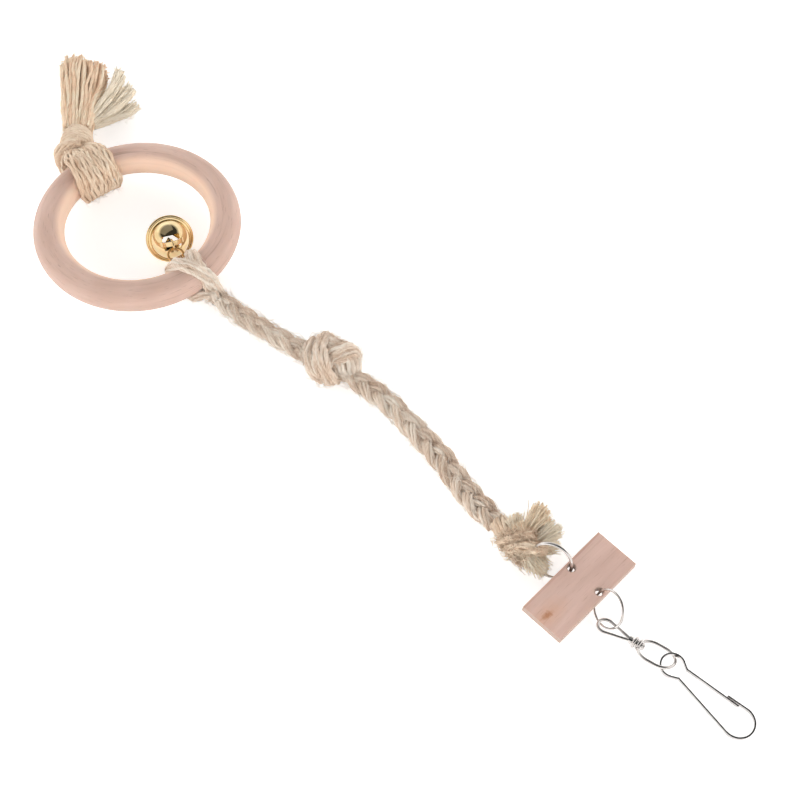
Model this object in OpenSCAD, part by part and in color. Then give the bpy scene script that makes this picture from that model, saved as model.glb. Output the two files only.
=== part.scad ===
// Bird swing: a turned wooden ring with a tassel and a bell, hung on a braided rope
// that is knotted to a wooden plate, a wire swivel and a sprung snap hook.
// It lies on a surface at z = 0, with the ring towards -X and the hook towards +X.

/* [Wood ring] */
// Outside diameter of the wooden ring
ring_od = 70; // [66:1:76]
// Diameter of the ring's round section
ring_section = 10.4; // [9.6:0.2:11.2]

/* [Rope] */
// Diameter of the plain tube that stands for the braid
braid_d = 7.2; // [6.4:0.2:7.6]
// Thickness of the rope strands wrapped round the wooden ring
wrap_t = 2.6; // [2.4:0.1:3.4]
// Length of the rope hitch along the ring
hitch_l = 13; // [11:0.5:14]
// Length of the neck from the hitch to the braid
hitch_neck_l = 2.4; // [1.6:0.2:4]
// Diameter of that neck where the strands gather
hitch_neck_d = 7.6; // [7.2:0.1:7.6]
// Diameter of the overhand knot in the middle of the rope
mid_knot_d = 13; // [12:0.2:13.6]
// Diameter of the knot at the plate end
end_knot_d = 9.6; // [9.2:0.2:10.2]
// Length of the knot at the plate end
end_knot_l = 20.4; // [20:0.2:21]
// Diameter of the rope where it enters a knot
knot_mouth_d = 8.2; // [7.8:0.1:8.6]
// Length of a frayed tuft
tuft_l = 10.5; // [8:0.5:12]
// Diameter of a frayed tuft at its blunt end
tuft_d = 6.4; // [5:0.2:7.4]

/* [Tassel] */
// Length of the yarn band along the ring
band_l = 15.2; // [12:0.2:16]
// Diameter of the yarn bundle where it leaves the band
bundle_d = 10; // [8:0.5:11]
// Distance from the middle of the ring's section to the neck knot's middle
band_neck_l = 14; // [13:0.5:16]
// Diameter of the knot at the tassel's neck
neck_knot_d = 12.4; // [11:0.2:13]
// Length of the knot at the tassel's neck
neck_knot_l = 9.6; // [8:0.2:12]
// Length of the loose yarns past the neck knot
fringe_l = 42; // [36:1:44]
// Width of the loose yarns at their tips
fringe_w = 17; // [15:0.5:20]
// Height to which the loose yarns lie on the surface
fringe_h = 9; // [7:0.2:10]
// Length of the side lock that curls away
lock_l = 28; // [24:1:32]
// Width of the side lock at its tip
lock_w = 12; // [10:0.2:13]

/* [Bell] */
// Diameter over the crimped flange of the bell
bell_flange_d = 16.2; // [15.8:0.1:16.8]
// Diameter of the rolled rim of that flange
bell_rim_d = 1.1; // [1:0.05:1.2]
// Diameter of the round body of the bell
bell_d = 13.4; // [13:0.1:13.8]
// Thickness of the bell's sheet metal
bell_t = 0.4; // [0.3:0.05:0.5]
// Width of a sound slot
bell_slot_w = 1.4; // [1:0.1:1.8]
// Width of the lifted strap on the crown
strap_w = 1.6; // [1.4:0.1:1.7]
// Length of the two slits beside the strap
strap_l = 6; // [5.6:0.1:6.4]
// Height of the strap's top above the body
strap_rise = 1.2; // [1.1:0.05:1.3]
// Diameter of the pellet inside the bell
pellet_d = 3.6; // [3:0.2:4.4]
// Wire of the small link in the strap
bell_link_wire = 0.6; // [0.5:0.05:0.65]
// Diameter of the small link at the middle of its wire
bell_link_d = 4; // [3.8:0.05:4.2]
// Wire of the bell's jump ring
bell_ring_wire = 0.9; // [0.8:0.05:1]
// Diameter of the bell's jump ring at the middle of its wire
bell_ring_d = 5.1; // [4.9:0.1:5.3]

/* [Wood plate] */
// Length of the wooden plate
plate_l = 34.4; // [30:0.2:38]
// Width of the wooden plate
plate_w = 14.8; // [14:0.1:16]
// Thickness of the wooden plate
plate_t = 2.6; // [2.2:0.1:2.8]
// Diameter of the two holes in the plate
plate_hole_d = 2.4; // [2.3:0.05:2.6]
// Chamfer at the mouths of those holes
plate_hole_chamfer = 0.4; // [0.35:0.05:0.5]
// Distance between the two holes
plate_hole_gap = 10.9; // [10.6:0.1:11.2]
// Distance of the holes to one side of the plate's middle
plate_hole_aside = 2.5; // [1.5:0.1:3.5]

/* [Wire rings] */
// Wire of the ring between the rope and the plate
rope_ring_wire = 1.1; // [1:0.05:1.15]
// Diameter of that ring at the middle of its wire
rope_ring_d = 12.7; // [12.4:0.1:13]
// Wire of the open jump ring below the plate
jump_ring_wire = 0.8; // [0.7:0.05:0.9]
// Diameter of the open jump ring at the middle of its wire
jump_ring_d = 11.6; // [11.3:0.1:11.9]

/* [Swivel] */
// Wire of the swivel's eye and oval ring
swivel_wire = 1.1; // [1:0.05:1.15]
// Inside width of the swivel's eye
swivel_eye_w = 3.8; // [3.6:0.1:4.2]
// Length from the middle of the eye's round end to the coil
swivel_eye_l = 10.4; // [10:0.1:10.8]
// Outside diameter of the coil round the shank
coil_d = 4; // [3.9:0.1:4.3]
// Length of the coil
coil_l = 2.6; // [2.4:0.1:2.8]
// Diameter of the shank that turns in the coil
shank_d = 1.5; // [1.3:0.05:1.6]
// Diameter of the shank's riveted head
shank_head_d = 2.6; // [2.4:0.1:2.8]
// Height of the shank's riveted head
shank_head_h = 0.8; // [0.6:0.1:1]
// Width of the oval ring at the middle of its wire
oval_w = 9.2; // [9:0.1:9.4]
// Length from the coil to the far end of the oval ring's wire
oval_l = 12.2; // [11.8:0.1:12.6]

/* [Snap hook] */
// Thickness of the hook's spring strip
strip_t = 0.5; // [0.4:0.05:0.6]
// Height of the strip
strip_h = 1.4; // [1.2:0.1:1.5]
// Diameter of the hook's eye at the middle of the strip
hook_eye_d = 7.2; // [7:0.1:7.4]
// Distance from the eye's centre to the centre of the hook's bend
hook_reach = 24.3; // [22:0.2:27]
// Diameter of the hook's bend at the middle of the strip
hook_bend_d = 9.7; // [9:0.1:10.4]
// Length of the nib that laps over the gate
hook_nib_l = 6.2; // [5:0.2:7]

/* [Hidden] */

// Overrun past a face for every cut
cut = 1;
// Gap between neighbouring pieces that rest on each other
seat_gap = 0.3;
// Running gap round a pin, a wire or the ring's section
run_gap = 0.1;
// Gap round the wire rings where they pass through the rope
tunnel_gap = 0.25;
$fn = 64;

// Route of the braid from the hitch to the middle knot
rope_low = [[-51, -5, 3.8], [-41, -4.5, 3.8], [-29, -3, 3.8], [-14, -0.5, 4.2]];
// Route of the braid from the middle knot to the end knot
rope_up = [[4, 3, 4.2], [17, 4, 3.8], [32, 2.5, 3.8], [47, 0, 3.8], [61, -3.5, 3.8], [72, -4.5, 3.8]];
// Sides of the braid's plain tube
braid_sides = 12;

function unit(v) = v / norm(v);
function flat(heading) = [cos(heading), sin(heading), 0];
function swing(lean, turn, p) = [
    cos(turn) * p.x - sin(turn) * (cos(lean) * p.y - sin(lean) * p.z),
    sin(turn) * p.x + cos(turn) * (cos(lean) * p.y - sin(lean) * p.z),
    sin(lean) * p.y + cos(lean) * p.z
];
function last(list) = list[len(list) - 1];
// Nearest reach of the wooden ring's section, from the ring's centre, along a band of this length
function bore_near(length) =
    sqrt((ring_od / 2 - ring_section) * (ring_od / 2 - ring_section) - length * length / 4);
// Bore that clears the bowed section, and the distance of its axis from the ring's centre
function bore_d(length) = ring_od / 2 - bore_near(length) + 2 * run_gap;
function bore_reach(length) = (ring_od / 2 + bore_near(length)) / 2;

// Places children at p with their Z axis along d
module along(p, d) {
    translate(p)
        rotate([0, acos(unit(d).z), atan2(d.y, d.x)])
            children();
}

// A round wire ring in its own XY plane
module wire_ring(middle_d, wire_d) {
    rotate_extrude()
        translate([middle_d / 2, 0])
            circle(d = wire_d, $fn = 24);
}

// A barrel along +Z with flat ends and a round bulge
module barrel(length, end_d, bulge_d) {
    bulge_share = 0.25;
    rotate_extrude()
        polygon([
            [0, 0],
            [end_d / 2, 0],
            [bulge_d / 2, bulge_share * length],
            [bulge_d / 2, (1 - bulge_share) * length],
            [end_d / 2, length],
            [0, length]
        ]);
}

// A plain tube swept along a route, square to the route at both ends
module braid_tube(route) {
    count = len(route);
    sides = braid_sides;
    points = [
        for (i = [0 : count - 1])
            let (
                before = route[max(i - 1, 0)],
                after = route[min(i + 1, count - 1)],
                d = unit(after - before),
                side = unit(cross([0, 0, 1], d)),
                up = cross(d, side)
            )
            for (k = [0 : sides - 1])
                route[i] + braid_d / 2 * (cos(360 * k / sides) * side + sin(360 * k / sides) * up)
    ];
    walls = [
        for (i = [0 : count - 2])
            for (k = [0 : sides - 1])
                let (
                    a = i * sides + k,
                    b = i * sides + (k + 1) % sides
                )
                each [[a, a + sides, b + sides], [a, b + sides, b]]
    ];
    near = [for (k = [1 : sides - 2]) [0, k, k + 1]];
    start = (count - 1) * sides;
    far = [for (k = [1 : sides - 2]) [start, start + k + 1, start + k]];
    polyhedron(points, concat(walls, near, far));
}

// Wood ring
ring_middle_d = ring_od - ring_section;
tassel_bore_d = bore_d(band_l);
ring_z = tassel_bore_d / 2 + wrap_t;

module wood_ring() {
    color("#d9bba6")
        translate(ring_c)
            rotate_extrude($fn = 96)
                translate([ring_middle_d / 2, 0])
                    circle(d = ring_section);
}

// Rope hitch on the ring
hitch_bore_d = bore_d(hitch_l);
hitch_od = hitch_bore_d + 2 * wrap_t;
hitch_axis_x = rope_low[0].x - hitch_neck_l - hitch_od / 2;
ring_c = [hitch_axis_x - bore_reach(hitch_l), rope_low[0].y, ring_z];
hitch_c = [hitch_axis_x, ring_c.y, ring_z];

module rope_ring_hitch() {
    start = rope_low[0];
    d = rope_low[1] - start;
    neck_l = hitch_neck_l + hitch_od / 2;
    color("#cdbd9c")
        difference() {
            union() {
                translate(hitch_c)
                    rotate([90, 0, 0])
                        translate([0, 0, -hitch_l / 2])
                            barrel_band(hitch_l, hitch_od);
                along(start, -d)
                    cylinder(h = neck_l, d = hitch_neck_d);
            }
            translate(hitch_c)
                rotate([90, 0, 0])
                    cylinder(h = hitch_l + 2 * cut, d = hitch_bore_d, center = true);
            place_bell_ring()
                wire_ring(bell_ring_d, bell_ring_wire + 2 * tunnel_gap);
        }
}

// A band of wrapped strands: its edges round over
module barrel_band(length, d) {
    edge = wrap_t / 2;
    rotate_extrude()
        polygon([
            [0, 0],
            [d / 2 - edge, 0],
            [d / 2, edge],
            [d / 2, length - edge],
            [d / 2 - edge, length],
            [0, length]
        ]);
}

// Braid
module rope_lower_braid() {
    color("#cdbd9c")
        braid_tube(rope_low);
}

module rope_upper_braid() {
    color("#cdbd9c")
        braid_tube(rope_up);
}

// Middle knot: a round body with one strand wrapped over it, and a mouth at each braid
mid_knot_aside = 1.5;

module rope_middle_knot() {
    from = last(rope_low);
    to = rope_up[0];
    into = from - rope_low[len(rope_low) - 2];
    out = rope_up[1] - to;
    reach = norm(to - from);
    mouth_l = reach / 3;
    body_l = reach - 2 * seat_gap;
    centre = [(from.x + to.x) / 2, (from.y + to.y) / 2 + mid_knot_aside, mid_knot_d / 2];
    lie = [to.x - from.x, to.y - from.y, 0];
    color("#cdbd9c")
        difference() {
            union() {
                along(from, into)
                    cylinder(h = mouth_l, d1 = knot_mouth_d, d2 = mid_knot_d / 2);
                along(to, -out)
                    cylinder(h = mouth_l, d1 = knot_mouth_d, d2 = mid_knot_d / 2);
                along(centre - unit(lie) * body_l / 2, lie)
                    barrel(body_l, mid_knot_d / 2, mid_knot_d);
            }
            along(from, -into)
                cylinder(h = mid_knot_d / 2, d = mid_knot_d);
            along(to, out)
                cylinder(h = mid_knot_d / 2, d = mid_knot_d);
        }
}

// End knot, through which the rope ring passes
end_c = last(rope_up);
end_d = end_c - rope_up[len(rope_up) - 2];
end_lie = unit([end_d.x, end_d.y, 0]);
end_knot_c = [end_c.x, end_c.y, end_knot_d / 2] + end_lie * (end_knot_l / 2 + seat_gap);

module end_knot_body(grow) {
    along(end_knot_c - end_lie * (end_knot_l / 2 + grow), end_lie)
        barrel(end_knot_l + 2 * grow, end_knot_d / 2 + 2 * grow, end_knot_d + 2 * grow);
}

module rope_end_knot() {
    color("#cdbd9c")
        difference() {
            union() {
                along(end_c, end_d)
                    cylinder(h = end_knot_l / 3, d1 = knot_mouth_d, d2 = end_knot_d / 2);
                end_knot_body(0);
            }
            place_rope_ring()
                wire_ring(rope_ring_d, rope_ring_wire + 2 * tunnel_gap);
        }
}

// Frayed tufts: root shares along the knot, heading, lift and length share of each
tuft_shares = [
    [0.26, 98, 16, 0.9],
    [0.5, 86, 20, 1],
    [0.76, 70, 14, 0.75]
];

module rope_frayed_ends() {
    color("#d8c193")
        difference() {
            for (t = tuft_shares)
                let (
                    root = end_knot_c + end_lie * end_knot_l * (t[0] - 0.5),
                    d = [cos(t[1]) * cos(t[2]), sin(t[1]) * cos(t[2]), sin(t[2])]
                )
                along(root, d)
                    tuft(end_knot_d / 2 + tuft_l * t[3]);
            end_knot_body(seat_gap);
        }
}

module tuft(length) {
    blunt = tuft_d / 4;
    rotate_extrude($fn = 32)
        polygon([
            [0, 0],
            [tuft_d / 4, 0],
            [tuft_d / 2, length - tuft_d / 2],
            [tuft_d / 2 - blunt / 2, length - blunt / 2],
            [blunt, length],
            [0, length]
        ]);
}

// Tassel on the ring
tassel_turn = 168;
tassel_out = flat(tassel_turn);
tassel_od = tassel_bore_d + 2 * wrap_t;
tassel_c = ring_c + tassel_out * bore_reach(band_l);
// Heading of the neck knot, round which the yarns bend towards the fringe
neck_turn = 134;
neck_out = flat(neck_turn);
neck_c = tassel_c + tassel_out * band_neck_l;
// Headings of the fringe and of its side lock
fringe_turn = 136;
lock_turn = 98;

module tassel_hitch() {
    color("#cdbd9c")
        difference() {
            union() {
                along(tassel_c - flat(tassel_turn + 90) * band_l / 2, flat(tassel_turn + 90))
                    barrel_band(band_l, tassel_od);
                along(tassel_c, tassel_out)
                    cylinder(h = band_neck_l, d = bundle_d);
            }
            along(tassel_c, flat(tassel_turn + 90))
                cylinder(h = band_l + 2 * cut, d = tassel_bore_d, center = true);
            neck_knot_body(seat_gap);
        }
}

module neck_knot_body(grow) {
    along(neck_c - neck_out * (neck_knot_l / 2 + grow), neck_out)
        barrel(neck_knot_l + 2 * grow, bundle_d + 2 * grow, neck_knot_d + 2 * grow);
}

module tassel_neck_knot() {
    color("#cdbd9c")
        neck_knot_body(0);
}

module tassel_fringe() {
    root = neck_c + neck_out * neck_knot_l / 2;
    far = fringe_l + lock_l;
    color("#d3c19c")
        difference() {
            union() {
                along(root - flat(fringe_turn) * bundle_d / 2, flat(fringe_turn))
                    yarn_fan(fringe_l + bundle_d / 2, bundle_d / 2, fringe_w);
                along(root - flat(lock_turn) * bundle_d / 2, flat(lock_turn))
                    yarn_fan(lock_l + bundle_d / 2, bundle_d / 2, lock_w);
            }
            along(neck_c - neck_out * bundle_d, neck_out)
                cylinder(h = bundle_d + neck_knot_l / 2 + seat_gap, d = neck_knot_d + 2 * bundle_d);
            translate([root.x - far, root.y - far, seat_gap - far])
                cube([2 * far, 2 * far, far]);
            translate([root.x - far, root.y - far, fringe_h])
                cube([2 * far, 2 * far, far]);
        }
}

// A fan of yarns that widens to its tips and rounds over
module yarn_fan(length, near_d, far_d) {
    tip = far_d / 4;
    rotate_extrude()
        polygon([
            [0, 0],
            [near_d / 2, 0],
            [far_d / 2, length - tip],
            [far_d / 2 - tip, length],
            [0, length]
        ]);
}

// Bell, its link and its jump ring
// The jump ring grips the hitch's strands, this far from the hitch's axis and turned up round it
bell_ring_reach = hitch_od / 2 + bell_ring_wire + tunnel_gap;
bell_ring_lean = 10;
bell_ring_aside = 0.4;
bell_ring_c = hitch_c + [
    -bell_ring_reach * cos(bell_ring_lean),
    -bell_ring_aside,
    bell_ring_reach * sin(bell_ring_lean)
];
bell_turn = -28;
bell_out = flat(bell_turn);
bell_side = flat(bell_turn + 90);
// The point of the jump ring's wire on which the link hangs
bell_hang_c = bell_ring_c - bell_ring_d / 2 * [
    cos(bell_turn) * cos(bell_ring_lean),
    sin(bell_turn),
    -cos(bell_turn) * sin(bell_ring_lean)
];
link_drop = 33;
link_d = bell_out * cos(link_drop) - [0, 0, sin(link_drop)];
link_hold = bell_link_d / 2 - bell_link_wire / 2 - 2 * run_gap;
link_c = bell_hang_c - link_d * (link_hold - bell_ring_wire / 2);
bell_lift = 37;
bell_axis = bell_out * cos(bell_lift) + [0, 0, sin(bell_lift)];
strap_top = bell_d / 2 + strap_rise;
// The strap lies this far from the link's centre
strap_hold = bell_link_wire;
strap_c = link_c - link_d * strap_hold;
bell_c = strap_c - bell_axis * (strap_top - bell_t / 2);

// Places children on the jump ring's centre, in its lean
module place_bell_ring() {
    translate(bell_ring_c)
        rotate([0, bell_ring_lean, 0])
            children();
}

module bell_jump_ring() {
    color("#c58a5a")
        place_bell_ring()
            wire_ring(bell_ring_d, bell_ring_wire);
}

module bell_link() {
    color("#d6b25a")
        along(link_c, bell_side)
            wire_ring(bell_link_d, bell_link_wire);
}

// Places children with the bell's axis along Z and its strap along Y
module place_bell() {
    translate(bell_c)
        rotate([0, 90 - bell_lift, bell_turn])
            children();
}

// Half of the bell: a domed sheet with its share of the crimped flange and its rolled rim
module bell_half() {
    rotate_extrude($fn = 96)
        difference() {
            union() {
                circle(d = bell_d);
                translate([0, -bell_t])
                    square([(bell_flange_d - bell_rim_d) / 2, 2 * bell_t]);
                translate([(bell_flange_d - bell_rim_d) / 2, 0])
                    circle(d = bell_rim_d, $fn = 24);
            }
            circle(d = bell_d - 2 * bell_t);
            translate([-bell_d, -bell_d])
                square([bell_d, 2 * bell_d]);
            translate([-bell_d, -2 * bell_d])
                square([2 * bell_d, 2 * bell_d]);
        }
}

module bell_crown_shell() {
    slit_w = bell_link_d + bell_link_wire + 4 * run_gap;
    strap_r = (strap_l * strap_l / 4 + strap_rise * strap_rise) / 2 / strap_rise;
    color("#d6b25a")
        place_bell() {
            difference() {
                bell_half();
                translate([-slit_w / 2, -strap_l / 2, bell_d / 4])
                    cube([slit_w, strap_l, bell_d]);
            }
            difference() {
                translate([0, 0, strap_top - strap_r])
                    rotate([0, 90, 0])
                        cylinder(h = strap_w, r = strap_r, center = true);
                translate([0, 0, strap_top - strap_r])
                    rotate([0, 90, 0])
                        cylinder(h = strap_w + 2 * cut, r = strap_r - bell_t, center = true);
                sphere(d = bell_d - 2 * bell_t, $fn = 96);
                translate([-bell_d / 2, -bell_d / 2, -bell_d])
                    cube([bell_d, bell_d, bell_d]);
            }
        }
}

module bell_slotted_shell() {
    slot_share = 0.8;
    slot_l = slot_share * bell_d;
    color("#d6b25a")
        place_bell()
            mirror([0, 0, 1])
                difference() {
                    bell_half();
                    for (turn = [45, 135])
                        rotate([0, 0, turn])
                            translate([-slot_l / 2, -bell_slot_w / 2, 2 * bell_t])
                                cube([slot_l, bell_slot_w, bell_d]);
                }
}

module bell_pellet() {
    drop = bell_d / 2 - bell_t - pellet_d / 2 - seat_gap;
    color("#8c8c8c")
        translate(bell_c - [0, 0, drop])
            sphere(d = pellet_d);
}

// Rope ring, the ring between the rope and the plate
rope_ring_lean = 70;
rope_ring_turn = 19;
// The ring's middle lies past the knot's end and to one side of it
rope_ring_past = 0.7;
rope_ring_aside = 1.5;
rope_ring_c = [
    end_knot_c.x + end_knot_l / 2 + rope_ring_past,
    end_knot_c.y + rope_ring_aside,
    (sin(rope_ring_lean) * rope_ring_d + rope_ring_wire) / 2
];

module place_rope_ring() {
    translate(rope_ring_c)
        rotate([rope_ring_lean, 0, rope_ring_turn])
            children();
}

module rope_ring() {
    color("#c9c9cb")
        place_rope_ring()
            wire_ring(rope_ring_d, rope_ring_wire);
}

// Wood plate, hung on the rope ring by one hole and carrying the jump ring by the other
plate_tilt = 4;
rope_hole_turn = -3;
upper_hole_c = rope_ring_c + swing(
    rope_ring_lean,
    rope_ring_turn,
    rope_ring_d / 2 * [cos(rope_hole_turn), sin(rope_hole_turn), 0]
);
plate_x = [cos(plate_tilt), 0, -sin(plate_tilt)];
lower_hole_c = upper_hole_c + plate_x * plate_hole_gap;
plate_c = (upper_hole_c + lower_hole_c) / 2 - [0, plate_hole_aside, 0];

module wood_plate() {
    color("#d2b09f")
        translate(plate_c)
            rotate([0, plate_tilt, 0])
                difference() {
                    cube([plate_w, plate_l, plate_t], center = true);
                    for (side = [-1, 1])
                        translate([side * plate_hole_gap / 2, plate_hole_aside, 0])
                            plate_hole();
                }
}

module plate_hole() {
    mouth_d = plate_hole_d + 2 * plate_hole_chamfer;
    cylinder(h = plate_t + 2 * cut, d = plate_hole_d, center = true);
    for (side = [0, 1])
        mirror([0, 0, side])
            translate([0, 0, plate_t / 2 - plate_hole_chamfer])
                cylinder(h = plate_hole_chamfer + cut, d1 = plate_hole_d, d2 = mouth_d + 2 * cut);
}

// Open jump ring below the plate
jump_ring_lean = 59;
jump_ring_turn = -20;
jump_hole_turn = 180;
jump_ring_c = lower_hole_c - swing(
    jump_ring_lean,
    jump_ring_turn,
    jump_ring_d / 2 * [cos(jump_hole_turn), sin(jump_hole_turn), 0]
);

module place_jump_ring() {
    translate(jump_ring_c)
        rotate([jump_ring_lean, 0, jump_ring_turn])
            children();
}

module plate_jump_ring() {
    color("#c9c9cb")
        place_jump_ring()
            wire_ring(jump_ring_d, jump_ring_wire);
}

// Swivel: an eye whose shank turns in the coil of the oval ring
swivel_turn = 11;
swivel_d = flat(swivel_turn);
oval_roll = -27;
eye_roll = -15;
// Turn along the jump ring at which the eye hangs on it
eye_hang_turn = -50;
eye_hang_c = jump_ring_c + swing(
    jump_ring_lean,
    jump_ring_turn,
    jump_ring_d / 2 * [cos(eye_hang_turn), sin(eye_hang_turn), 0]
);
eye_r = (swivel_eye_w + swivel_wire) / 2;
// The middle of the eye's round end lies this far behind the wire it hangs on
eye_back = 0.4;
coil_z = (oval_w * sin(-oval_roll) + swivel_wire) / 2;
coil_c = [eye_hang_c.x, eye_hang_c.y, coil_z]
    + swivel_d * (swivel_eye_l - eye_back);

// Places children with the swivel's axis along X and the coil's middle at the origin
module place_swivel(roll) {
    translate(coil_c)
        rotate([roll, 0, swivel_turn])
            children();
}

module wire_line(from, to, d) {
    along(from, to - from)
        cylinder(h = norm(to - from), d = d, $fn = 24);
}

module wire_arc(r, d, start, turn) {
    rotate([0, 0, start])
        rotate_extrude(angle = turn)
            translate([r, 0])
                circle(d = d, $fn = 24);
}

module swivel_oval_ring() {
    r = oval_w / 2;
    // The oval starts inside the coil's last turn
    bite_share = 0.75;
    near_c = coil_l / 2 - bite_share * swivel_wire + r;
    far_c = oval_l - r;
    coil_lean = 8;
    turn_gap = coil_l - swivel_wire;
    color("#c9c9cb")
        difference() {
            union() {
                place_swivel(oval_roll) {
                    translate([far_c, 0, 0])
                        wire_arc(r, swivel_wire, -90, 180);
                    translate([near_c, 0, 0])
                        wire_arc(r, swivel_wire, 90, 180);
                    for (side = [-1, 1])
                        wire_line([near_c, side * r, 0], [far_c, side * r, 0], swivel_wire);
                }
                place_swivel(0)
                    rotate([0, 90, 0]) {
                        for (side = [-1, 1])
                            translate([0, 0, side * turn_gap / 2])
                                rotate([coil_lean, 0, 0])
                                    wire_ring(coil_d - swivel_wire, swivel_wire);
                        cylinder(h = turn_gap, d = coil_d - swivel_wire, center = true);
                    }
            }
            place_swivel(0)
                rotate([0, 90, 0])
                    cylinder(h = coil_l + 2 * cut, d = shank_d + 2 * run_gap, center = true);
        }
}

module swivel_eye() {
    neck = coil_l / 2 + seat_gap;
    // The legs run tangent from the round end into the collar
    leg_end = [swivel_eye_l - neck - swivel_wire / 2, swivel_wire / 4];
    touch = atan2(leg_end.y, leg_end.x) + acos(eye_r / norm(leg_end));
    leg_run = unit(leg_end - eye_r * [cos(touch), sin(touch)]);
    slim_share = 0.94;
    leg_d = slim_share * swivel_wire;
    lap = swivel_wire / 4;
    color("#c9c9cb") {
        place_swivel(eye_roll)
            translate([-swivel_eye_l, 0, 0]) {
                wire_arc(eye_r, swivel_wire, touch, 360 - 2 * touch);
                for (side = [-1, 1])
                    wire_line(
                        eye_r * [cos(touch), side * sin(touch), 0] - lap * [leg_run.x, side * leg_run.y, 0],
                        [leg_end.x, side * leg_end.y, 0],
                        leg_d
                    );
            }
        place_swivel(0)
            rotate([0, 90, 0])
                rotate_extrude()
                    polygon([
                        [0, -neck - swivel_wire],
                        [shank_head_d / 2, -neck - swivel_wire],
                        [shank_head_d / 2, -neck],
                        [shank_d / 2, -neck],
                        [shank_d / 2, neck],
                        [shank_head_d / 2, neck],
                        [shank_head_d / 3, neck + shank_head_h],
                        [0, neck + shank_head_h]
                    ]);
    }
}

// Snap hook: one spring strip on edge, bent round an eye, a leg, the hook's bend and a nib
hook_turn = 0;
eye_gap = 2 * run_gap;
hook_hang_turn = -10;
hook_hold = 4.4;
hook_eye_r = hook_eye_d / 2;
hook_bend_r = hook_bend_d / 2;
// The oval's low side passes under the hook's eye and lifts it
low_cross_share = 0.3;
low_cross = cos(oval_roll) * low_cross_share * oval_w;
eye_rise = coil_z - tan(-oval_roll) * low_cross + swivel_wire / 2 / cos(oval_roll) + eye_gap;
hook_pitch = asin(eye_rise / (hook_reach + hook_bend_r));
oval_far_c = coil_c + swivel_d * (oval_l - oval_w / 2);
hook_c = [oval_far_c.x, oval_far_c.y, eye_rise]
    + flat(swivel_turn + hook_hang_turn) * hook_hold;

// Places children with the hook's eye at the origin, its bend along +X and its strip from z = 0
module place_hook() {
    translate(hook_c)
        rotate([0, hook_pitch, hook_turn])
            children();
}

// A straight run of strip, a little slimmer than the bends it laps into
module strip_line(from, to) {
    run = to - from;
    lap = strip_t / 2;
    slim_share = 0.9;
    translate(from)
        rotate([0, 0, atan2(run.y, run.x)])
            translate([-lap, -slim_share * strip_t / 2, (1 - slim_share) * strip_h / 2])
                cube([norm(run) + 2 * lap, slim_share * strip_t, slim_share * strip_h]);
}

module strip_arc(centre, r, start, turn) {
    translate(centre)
        rotate([0, 0, start])
            rotate_extrude(angle = turn, $fn = 96)
                translate([r - strip_t / 2, 0])
                    square([strip_t, strip_h]);
}

// The eye closes at these turns to its two shoulders
eye_open = 60;
shoulder_share = 0.66;
shoulder_l = shoulder_share * hook_eye_r;
shoulder = hook_eye_r * [cos(eye_open), sin(eye_open)] + shoulder_l * [sin(eye_open), -cos(eye_open)];
// The leg runs tangent to the bend
leg_run = [hook_reach - shoulder.x, shoulder.y];
leg_turn = atan2(leg_run.y, leg_run.x) - asin(hook_bend_r / norm(leg_run));
leg_l = sqrt(norm(leg_run) * norm(leg_run) - hook_bend_r * hook_bend_r);
leg_end = [shoulder.x, -shoulder.y] + leg_l * [cos(leg_turn), sin(leg_turn)];
// The nib leaves the bend at this turn and leans back towards the gate
nib_turn = 97;
nib_start = [hook_reach, 0] + hook_bend_r * [cos(nib_turn), sin(nib_turn)];
nib_end = nib_start + hook_nib_l * [-sin(nib_turn), cos(nib_turn)];
// The gate turns at the shoulder and rests inside the nib
gate_root = shoulder + [2 * strip_t, strip_t / 4];
gate_rest = nib_end - [0, strip_t + eye_gap];
gate_over_share = 0.6;
gate_over = gate_over_share * hook_nib_l;
gate_run = gate_rest - gate_root;
gate_tip = gate_rest + gate_over * gate_run / norm(gate_run);

module strip_corner(p) {
    translate(p)
        cylinder(h = strip_h, d = strip_t, $fn = 24);
}

module snap_hook_body() {
    color("#c9c9cb")
        place_hook() {
            strip_arc([0, 0], hook_eye_r, eye_open, 360 - 2 * eye_open);
            for (side = [-1, 1])
                strip_line(
                    hook_eye_r * [cos(eye_open), side * sin(eye_open)],
                    [shoulder.x, side * shoulder.y]
                );
            strip_corner([shoulder.x, -shoulder.y]);
            strip_line([shoulder.x, -shoulder.y], leg_end);
            strip_arc([hook_reach, 0], hook_bend_r, leg_turn - 90, nib_turn - leg_turn + 90);
            strip_line(nib_start, nib_end);
        }
}

module snap_hook_gate() {
    color("#c9c9cb")
        place_hook() {
            strip_corner(gate_root);
            strip_line(gate_root, gate_tip);
        }
}

snap_hook_body();
snap_hook_gate();
swivel_oval_ring();
swivel_eye();
plate_jump_ring();
wood_plate();
rope_ring();
rope_end_knot();
rope_frayed_ends();
rope_upper_braid();
rope_middle_knot();
rope_lower_braid();
rope_ring_hitch();
wood_ring();
tassel_hitch();
tassel_neck_knot();
tassel_fringe();
bell_jump_ring();
bell_link();
bell_crown_shell();
bell_slotted_shell();
bell_pellet();
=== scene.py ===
import math
import random

import bpy
import numpy as np
from mathutils import Matrix, Vector


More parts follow.
